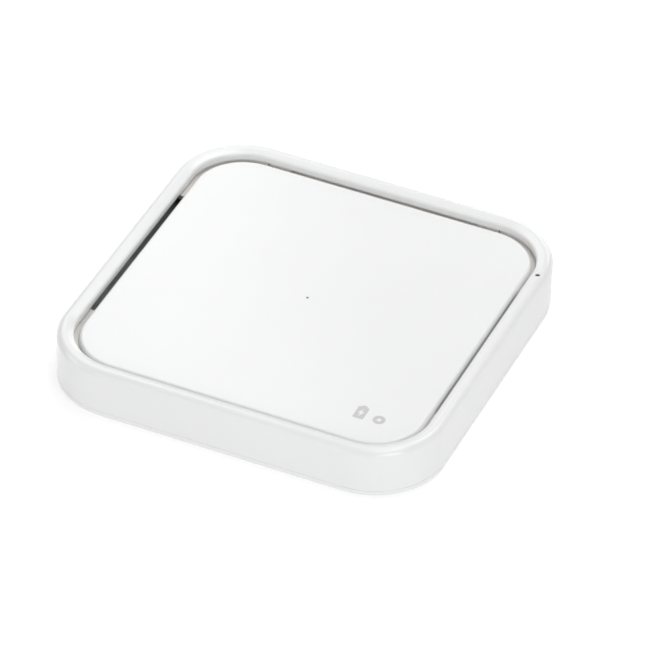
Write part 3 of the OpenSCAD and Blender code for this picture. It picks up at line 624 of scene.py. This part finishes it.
def layered(name, dark, light, period, rough, metallic, depth=2e-5):
    """A stack or bundle: thin lines across Z, period metres apart, in two colours."""
    material, tree, shader, place = new_material(name)
    wave = tree.nodes.new("ShaderNodeTexWave")
    wave.wave_type = "BANDS"
    wave.bands_direction = "Z"
    wave.inputs["Scale"].default_value = WAVE_PERIOD / period
    wave.inputs["Distortion"].default_value = 0.6
    wave.inputs["Detail Scale"].default_value = 2.0
    tree.links.new(place.outputs["Object"], wave.inputs["Vector"])
    fine = noise(tree, place, 9000)
    tree.links.new(ramp(tree, wave.outputs["Fac"], dark, light, 0.2, 0.8), shader.inputs["Base Color"])
    tree.links.new(spread(tree, fine, *rough), shader.inputs["Roughness"])
    bump(tree, shader, [(wave.outputs["Fac"], depth, 0.6), (fine, 2e-6, 0.5)])
    shader.inputs["Metallic"].default_value = metallic
    return material


def litz(name):
    """Bundled copper wire, wound in a flat spiral: twisted strands that follow the turns."""
    strand = 1.6e-4
    material, tree, shader, place = new_material(name)
    rings = tree.nodes.new("ShaderNodeTexWave")
    rings.wave_type = "RINGS"
    rings.rings_direction = "Z"
    rings.inputs["Scale"].default_value = WAVE_PERIOD / strand
    rings.inputs["Distortion"].default_value = 2.5
    rings.inputs["Detail Scale"].default_value = 400
    tree.links.new(place.outputs["Object"], rings.inputs["Vector"])
    strands = rings.outputs["Fac"]
    fine = noise(tree, place, 12000)
    copper = ramp(tree, strands, (0.42, 0.15, 0.06), (0.86, 0.42, 0.2), 0.15, 0.8)
    tree.links.new(copper, shader.inputs["Base Color"])
    tree.links.new(spread(tree, fine, 0.24, 0.4), shader.inputs["Roughness"])
    bump(tree, shader, [(strands, 4e-5, 0.8), (fine, 2e-6, 0.5)])
    shader.inputs["Metallic"].default_value = 0.9
    shader.inputs["Coat Weight"].default_value = 0.4
    return material


def circuit_board(name):
    """Green solder mask over copper tracks, with tinned vias and a trace of the glass weave."""
    material, tree, shader, place = new_material(name)
    tracks = tree.nodes.new("ShaderNodeTexBrick")
    tracks.inputs["Scale"].default_value = 260
    tracks.inputs["Mortar Size"].default_value = 0.09
    tracks.inputs["Mortar Smooth"].default_value = 0.2
    tracks.inputs["Color1"].default_value = (0.012, 0.105, 0.045, 1)
    tracks.inputs["Color2"].default_value = (0.016, 0.125, 0.055, 1)
    tracks.inputs["Mortar"].default_value = (0.035, 0.2, 0.085, 1)
    tree.links.new(place.outputs["Object"], tracks.inputs["Vector"])
    vias = tree.nodes.new("ShaderNodeTexVoronoi")
    vias.inputs["Scale"].default_value = 330
    tree.links.new(place.outputs["Object"], vias.inputs["Vector"])
    is_via = tree.nodes.new("ShaderNodeMapRange")
    is_via.inputs["From Min"].default_value = 0.1
    is_via.inputs["From Max"].default_value = 0.13
    is_via.inputs["To Min"].default_value = 1.0
    is_via.inputs["To Max"].default_value = 0.0
    tree.links.new(vias.outputs["Distance"], is_via.inputs["Value"])
    mix = tree.nodes.new("ShaderNodeMix")
    mix.data_type = "RGBA"
    tree.links.new(is_via.outputs["Result"], mix.inputs["Factor"])
    tree.links.new(tracks.outputs["Color"], mix.inputs["A"])
    mix.inputs["B"].default_value = (0.62, 0.6, 0.55, 1)
    tree.links.new(mix.outputs["Result"], shader.inputs["Base Color"])
    tree.links.new(is_via.outputs["Result"], shader.inputs["Metallic"])
    weave = noise(tree, place, 4000)
    tree.links.new(spread(tree, weave, 0.28, 0.4), shader.inputs["Roughness"])
    bump(tree, shader, [(tracks.outputs["Fac"], 1.5e-5, 0.6), (weave, 3e-6, 0.5)])
    return material


def foam(name, dark, light, cell):
    """Open foam or felted tape: small cells, no gloss."""
    material, tree, shader, place = new_material(name)
    cells = tree.nodes.new("ShaderNodeTexVoronoi")
    cells.inputs["Scale"].default_value = cell
    tree.links.new(place.outputs["Object"], cells.inputs["Vector"])
    colour = ramp(tree, cells.outputs["Distance"], dark, light, 0.1, 0.8)
    tree.links.new(colour, shader.inputs["Base Color"])
    fine = noise(tree, place, cell * 3)
    tree.links.new(spread(tree, fine, 0.8, 0.95), shader.inputs["Roughness"])
    bump(tree, shader, [(cells.outputs["Distance"], 6e-5, 0.9), (fine, 1e-5, 0.5)])
    return material


package_black = surface("package_black", *shades(0.022, width=0.2), (0.5, 0.7), 14000, 6e-6)
nickel = surface("nickel", *shades(0.7, (1.0, 0.98, 0.94), 0.05), (0.2, 0.36), 9000, 2e-6,
                 metallic=1.0, drift=220)
screw_steel = surface("screw_steel", *shades(0.55, (1.0, 0.99, 0.97), 0.1), (0.26, 0.42), 12000, 3e-6,
                      metallic=1.0, drift=300)
white_nylon = surface("white_nylon", *shades(0.66, (1.0, 0.98, 0.92), 0.03), (0.4, 0.55), 5000, 4e-6)

FINISHES = {
    "inner_frame": frame_grey,
    "plate_adhesive": foam("tape", (0.05, 0.05, 0.05), (0.12, 0.12, 0.12), 3500),
    "base_screws": screw_steel,
    "status_led": surface("led_resin", *shades(0.6, (1.0, 0.86, 0.4), 0.06), (0.2, 0.32),
                          5000, 2e-6, coat=0.4),
    "main_pcb": circuit_board("circuit_board"),
    "pcb_screws": screw_steel,
    "usb_contacts": surface("gold", *shades(0.8, (1.0, 0.74, 0.34), 0.06), (0.16, 0.3),
                            16000, 1e-6, metallic=1.0, drift=400),
    "controller_ic": package_black,
    "bridge_ics": package_black,
    "regulator_ic": package_black,
    "crystal": nickel,
    "resonant_capacitors": surface("capacitor_ceramic", *shades(0.42, (1.0, 0.76, 0.5), 0.12),
                                   (0.4, 0.6), 8000, 5e-6),
    "bulk_capacitors": surface("tantalum_case", *shades(0.6, (1.0, 0.72, 0.22), 0.06), (0.35, 0.5),
                               9000, 4e-6),
    "power_inductor": surface("inductor_grey", *shades(0.11, width=0.18), (0.5, 0.72), 4200, 1.2e-5),
    "chip_resistors": surface("resistor_film", *shades(0.04, width=0.25), (0.25, 0.4), 9000, 3e-6),
    "shield_can": nickel,
    "thermal_pad": surface("gap_filler", *shades(0.4, (0.62, 0.85, 1.15), 0.06), (0.6, 0.8),
                           2600, 2e-5),
    "heat_spreader": brushed("aluminium", 0.78, (1.0, 1.0, 1.01), (0.28, 0.42), "x"),
    "coil_winding": litz("litz"),
    "ferrite_disc": surface("ferrite", *shades(0.075, (1.05, 1, 0.96), 0.15), (0.45, 0.65),
                            3500, 8e-6),
    "coil_carrier": surface("carrier_grey", *shades(0.3, (1.0, 1.0, 0.98), 0.04), (0.45, 0.6),
                            6000, 6e-6),
    "carrier_screws": screw_steel,
    "thermistor": surface("brown_epoxy", *shades(0.12, (1.3, 0.75, 0.4), 0.2), (0.2, 0.36),
                          3500, 8e-6, coat=0.4),
    "fan_housing": black_plastic,
    "fan_cover": black_plastic,
    "fan_gasket": foam("gasket_foam", (0.008, 0.008, 0.008), (0.04, 0.04, 0.04), 2600),
    "fan_screws": screw_steel,
    "fan_board": circuit_board("fan_circuit_board"),
    "fan_bearing": surface("sintered_bronze", *shades(0.5, (1.0, 0.66, 0.34), 0.16), (0.3, 0.5),
                           11000, 8e-6, metallic=1.0, drift=900),
    "thrust_pad": white_nylon,
    "stator_core": layered("lamination", (0.22, 0.22, 0.23), (0.5, 0.5, 0.5), 2e-4, (0.35, 0.5),
                           metallic=1.0),
    "stator_coils": layered("magnet_wire", (0.4, 0.12, 0.03), (0.8, 0.34, 0.12), 1.2e-4, (0.2, 0.35),
                            metallic=0.8, depth=3e-5),
    "fan_cable": surface("cable_sleeve", *shades(0.4, (1.2, 0.08, 0.06), 0.06), (0.4, 0.55),
                         5000, 6e-6),
    "fan_connector": white_nylon,
    "impeller": surface("impeller_grey", *shades(0.16, (0.97, 1, 1.03), 0.06), (0.35, 0.5),
                        7000, 4e-6),
    "rotor_yoke": nickel,
    "rotor_magnet": surface("bonded_magnet", *shades(0.05, width=0.2), (0.4, 0.6), 9000, 6e-6,
                            metallic=0.3),
    "fan_shaft": brushed("ground_steel", 0.66, (1, 1, 1), (0.14, 0.24), "z"),
}

for name, material in FINISHES.items():
    node = NODES[name]
    if not node.hide_render:
        node.data.materials.clear()
        node.data.materials.append(material)

# ---- Studio ----

FLOOR_HALF = 6000

# Name, degrees around from the front towards the right, degrees up, metres away, side of the
# square in metres, watts.
SOFTBOXES = [
    ("overhead", 63, 72, 0.8, 0.4, 2.1),
    ("front", -20, 20, 0.8, 0.4, 0.75),
    ("corner", 47, 20, 0.8, 0.4, 2.4),
    ("back_high", 170, 60, 0.8, 0.4, 2.0),
    ("back_low", 180, 20, 0.8, 0.4, 1.1),
    ("back_left", -155, 20, 0.8, 0.4, 0.4),
    ("left", -65, 20, 0.8, 0.4, 1.4),
    ("sheen", -117, 70, 0.32, 0.2, 0.04),
    ("glow", -135, 43, 0.385, 0.22, 0.28),
]


def direction(azimuth, elevation):
    """Unit vector so many degrees around from the front towards the right, and so many up."""
    around, up = math.radians(azimuth), math.radians(elevation)
    return Vector((math.sin(around) * math.cos(up), -math.cos(around) * math.cos(up), math.sin(up)))


def build_world():
    """A faint even sky."""
    world = bpy.data.worlds.new("studio")
    bpy.context.scene.world = world
    world.use_nodes = True
    sky = world.node_tree.nodes["Background"]
    sky.inputs["Color"].default_value = (1, 1, 1, 1)
    sky.inputs["Strength"].default_value = 0.12


def build_floor():
    """A plain pale floor. It glows a little, which keeps it pale away from the lights."""
    bm = bmesh.new()
    bmesh.ops.create_grid(bm, x_segments=1, y_segments=1, size=FLOOR_HALF)
    floor = to_object("floor", bm)
    material, tree, shader, place = new_material("floor_white")
    cloudy = noise(tree, place, 2.0, detail=1)
    tree.links.new(ramp(tree, cloudy, (0.4, 0.4, 0.4), (0.42, 0.42, 0.42)), shader.inputs["Base Color"])
    shader.inputs["Roughness"].default_value = 0.9
    shader.inputs["Specular IOR Level"].default_value = 0.1
    shader.inputs["Emission Color"].default_value = (1, 1, 1, 1)
    shader.inputs["Emission Strength"].default_value = 0.64
    floor.data.materials.append(material)


def build_lights():
    """Soft square lights that face the pad."""
    for name, azimuth, elevation, distance, size, power in SOFTBOXES:
        light = bpy.data.lights.new(name, "AREA")
        light.shape = "SQUARE"
        light.size = size
        light.energy = power
        lamp = bpy.data.objects.new(name, light)
        lamp.location = direction(azimuth, elevation) * distance
        lamp.rotation_mode = "QUATERNION"
        lamp.rotation_quaternion = (-lamp.location).to_track_quat("-Z", "Y")
        bpy.context.scene.collection.objects.link(lamp)


def build_camera():
    """A long lens in front of the pad, a little to its right and above it.

    off_right and off_down say how far the aim is from the pad's middle, across the view."""
    azimuth, elevation = 23.306, 38.548
    roll = math.radians(1.618)
    distance = 1.2564
    lens = 295.1
    look_at = Vector((0, 0, 8.3 * MM))
    off_right, off_down = 4.22 * MM, 3.48 * MM
    back = direction(azimuth, elevation)
    level = direction(azimuth + 90, 0)
    upright = back.cross(level)
    right = level * math.cos(roll) + upright * math.sin(roll)
    up = -level * math.sin(roll) + upright * math.cos(roll)
    place = look_at + back * distance
    aim = look_at + right * off_right - up * off_down
    axis_z = (place - aim).normalized()
    axis_x = up.cross(axis_z).normalized()
    axis_y = axis_z.cross(axis_x)
    data = bpy.data.cameras.new("camera")
    data.lens = lens
    data.sensor_width = 36
    data.clip_start, data.clip_end = 0.05, 20
    camera = bpy.data.objects.new("camera", data)
    turn = Matrix((axis_x, axis_y, axis_z)).transposed().to_4x4()
    camera.matrix_world = Matrix.Translation(place) @ turn
    bpy.context.scene.collection.objects.link(camera)
    bpy.context.scene.camera = camera


bpy.context.scene.view_settings.view_transform = "Standard"
build_world()
build_floor()
build_lights()
build_camera()
